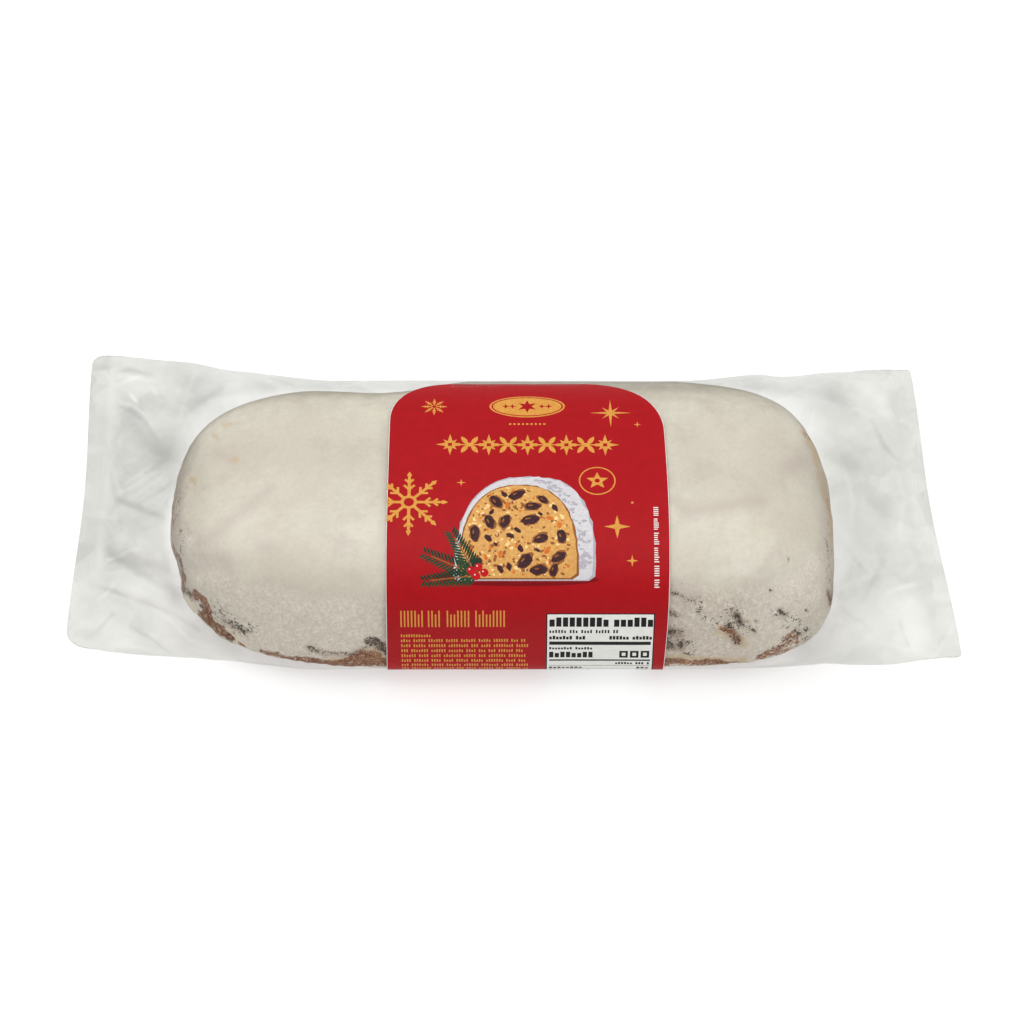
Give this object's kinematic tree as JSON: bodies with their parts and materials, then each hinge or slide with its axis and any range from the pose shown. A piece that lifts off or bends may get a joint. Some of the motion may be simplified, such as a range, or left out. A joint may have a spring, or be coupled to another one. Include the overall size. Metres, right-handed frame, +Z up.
{
  "type": "stollen",
  "caption": "Long oval sugar-coated stollen sealed in a clear pillow bag with flat crimped ends and a printed wrap label.",
  "frame": {"origin": "centre of the pack's footprint on the table", "axes": "+X along the loaf, towards the lower end seal; +Y to the back, away from the label's fine print; +Z up"},
  "size_m": [0.3311, 0.155, 0.0642],
  "materials": {
    "film": "clear soft film, lightly creased",
    "label": "satin printed wrap"
  },
  "bodies": {
    "root": {"bag": "film", "label": "label"}
  },
  "joints": []
}
